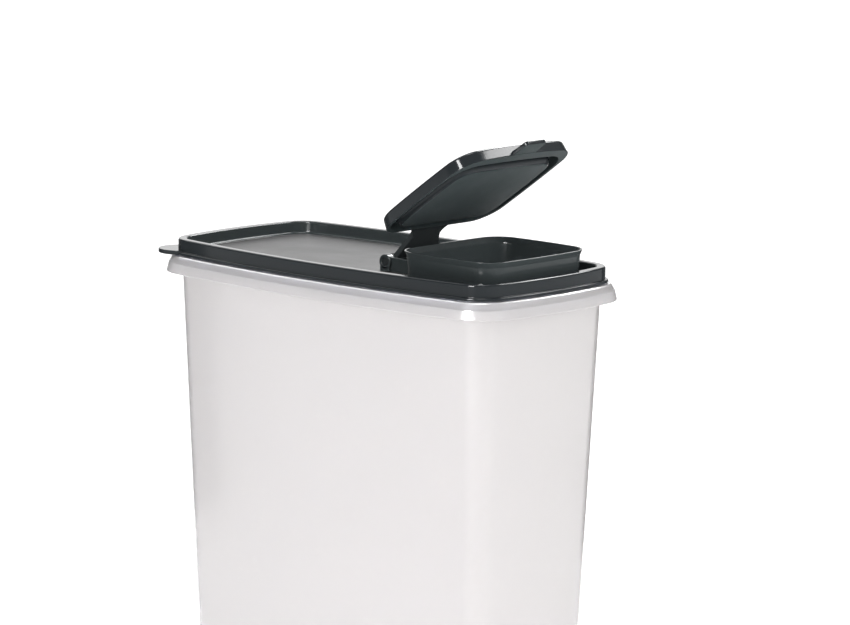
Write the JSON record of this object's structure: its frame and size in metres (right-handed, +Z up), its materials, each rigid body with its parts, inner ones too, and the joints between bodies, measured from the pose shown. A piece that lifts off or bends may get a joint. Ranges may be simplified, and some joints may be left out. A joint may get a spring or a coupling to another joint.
{
  "type": "cereal container with flip spout",
  "caption": "Tall frosted tub with a skirted rim, closed by a black press-on seal whose pour spout has a hinged flip cap with a thumb tab.",
  "frame": {"origin": "centre of the tub's flat base", "axes": "+Z up, +X towards the end with the pour spout, -Y towards the long side that faces the viewer"},
  "size_m": [0.2526, 0.1326, 0.3198],
  "materials": {
    "tub": "frosted translucent",
    "seal": "gloss",
    "flip_cap": "gloss"
  },
  "bodies": {
    "tub": {"tub": "tub"},
    "seal": {"seal": "seal"},
    "cap": {"flip_cap": "flip_cap"}
  },
  "joints": [
    {"name": "seal_lift", "type": "slide", "parent": "tub", "child": "seal", "axis": [0, 0, 1], "range_m": [0, 0.06]},
    {"name": "cap_hinge", "type": "hinge", "parent": "seal", "child": "cap", "pos_m": [0.0176, 0, 0.2484], "axis": [0, -1, 0], "range_deg": [-35, 115]}
  ]
}
